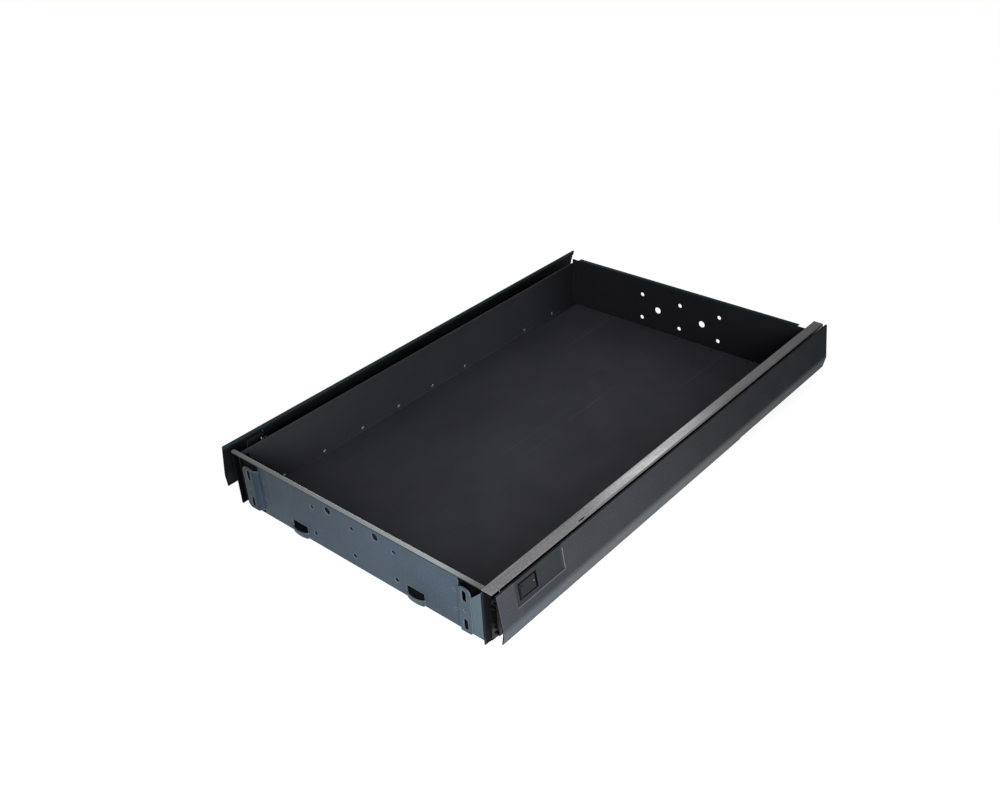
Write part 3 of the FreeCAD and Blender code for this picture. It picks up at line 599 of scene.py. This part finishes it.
# %% The stage's white
def seen_directly(tree):
    rays = tree.nodes.new("ShaderNodeLightPath")
    kinds = ("Is Camera Ray", "Is Glossy Ray", "Is Transmission Ray")
    return largest(tree, *(rays.outputs[kind] for kind in kinds))

def distance_out(tree):
    place = tree.nodes.new("ShaderNodeTexCoord")
    length = tree.nodes.new("ShaderNodeVectorMath")
    length.operation = "LENGTH"
    tree.links.new(place.outputs["Object"], length.inputs[0])
    return length.outputs["Value"]

def stage_white(glow=0.84, shadow_share=0.34, paint=0.8, near=0.75, far=1.5):
    material = bpy.data.materials.new("stage_white")
    material.use_nodes = True
    tree = material.node_tree
    tree.nodes.clear()
    seen = seen_directly(tree)
    out = distance_out(tree)
    seen_near = times(tree, seen, spread(tree, out, 1.0, 0.0, near, far))
    seen_far = times(tree, seen, spread(tree, out, 0.0, 1.0, near, far))
    colour = plus(tree, faded(tree, seen_near, 0.0, shadow_share), faded(tree, seen, paint, 0.0))
    strength = plus(tree, faded(tree, seen_near, 0.0, glow), seen_far)
    lit = tree.nodes.new("ShaderNodeBsdfDiffuse")
    glowing = tree.nodes.new("ShaderNodeEmission")
    both = tree.nodes.new("ShaderNodeAddShader")
    output = tree.nodes.new("ShaderNodeOutputMaterial")
    tree.links.new(colour, lit.inputs["Color"])
    tree.links.new(strength, glowing.inputs["Strength"])
    tree.links.new(lit.outputs["BSDF"], both.inputs[0])
    tree.links.new(glowing.outputs["Emission"], both.inputs[1])
    tree.links.new(both.outputs["Shader"], output.inputs["Surface"])
    return material

# %% Stage
def white_stage(size=16.0):
    mesh = bpy.data.meshes.new("stage")
    half = size / 2
    corners = [(-half, -half, 0), (half, -half, 0), (half, half, 0), (-half, half, 0)]
    mesh.from_pydata(corners, [], [(0, 1, 2, 3)])
    stage = bpy.data.objects.new("stage", mesh)
    bpy.context.scene.collection.objects.link(stage)
    mesh.materials.append(stage_white())
    return stage

print("stage:", white_stage().name)

# %% [markdown]
# Four soft lamps light the drawer. One stands high behind the left rail, and from there it
# glances off the flat top of the cover towards the camera. A larger one stands low on the same
# side. A third stands close beside the near right corner: it lights the front wall, the right
# rail and the inside of the left wall, and fades towards the far end. The fourth hangs overhead.
# A dim white world fills the rest, and shows plain white behind the drawer and in reflections.

# %% Lamps and world
def soft_lamp(name, place, target, size, power, colour=(1.0, 1.0, 1.0)):
    data = bpy.data.lights.new(name, "AREA")
    data.size = size
    data.energy = power
    data.color = colour
    lamp = bpy.data.objects.new(name, data)
    aim = (Vector(target) - Vector(place)).to_track_quat("-Z", "Y")
    lamp.matrix_world = Matrix.Translation(place) @ aim.to_matrix().to_4x4()
    lamp.visible_camera = False
    bpy.context.scene.collection.objects.link(lamp)
    return lamp

def studio_world(fill=0.2):
    world = bpy.data.worlds.new("studio")
    world.use_nodes = True
    tree = world.node_tree
    background = tree.nodes["Background"]
    strength = faded(tree, seen_directly(tree), fill, 1.0)
    tree.links.new(strength, background.inputs["Strength"])
    background.inputs["Color"].default_value = (1.0, 1.0, 1.0, 1.0)
    bpy.context.scene.world = world

soft_lamp("back_left", (-0.84, 1.54, 1.44), target=(0.2, -0.05, 0.08), size=0.3, power=2.1)
soft_lamp("low_left", (-1.0, 0.95, 0.34), target=(0, 0, 0.04), size=0.6, power=6.0)
soft_lamp("near_right", (0.68, -0.78, 0.38), target=(-0.05, -0.25, 0.03), size=0.4, power=11.5,
          colour=(0.96, 0.98, 1.0))
soft_lamp("overhead", (0.3, -0.1, 2.4), target=(0, 0, 0), size=1.4, power=13.0)
studio_world()
bpy.context.scene.view_settings.view_transform = "Standard"
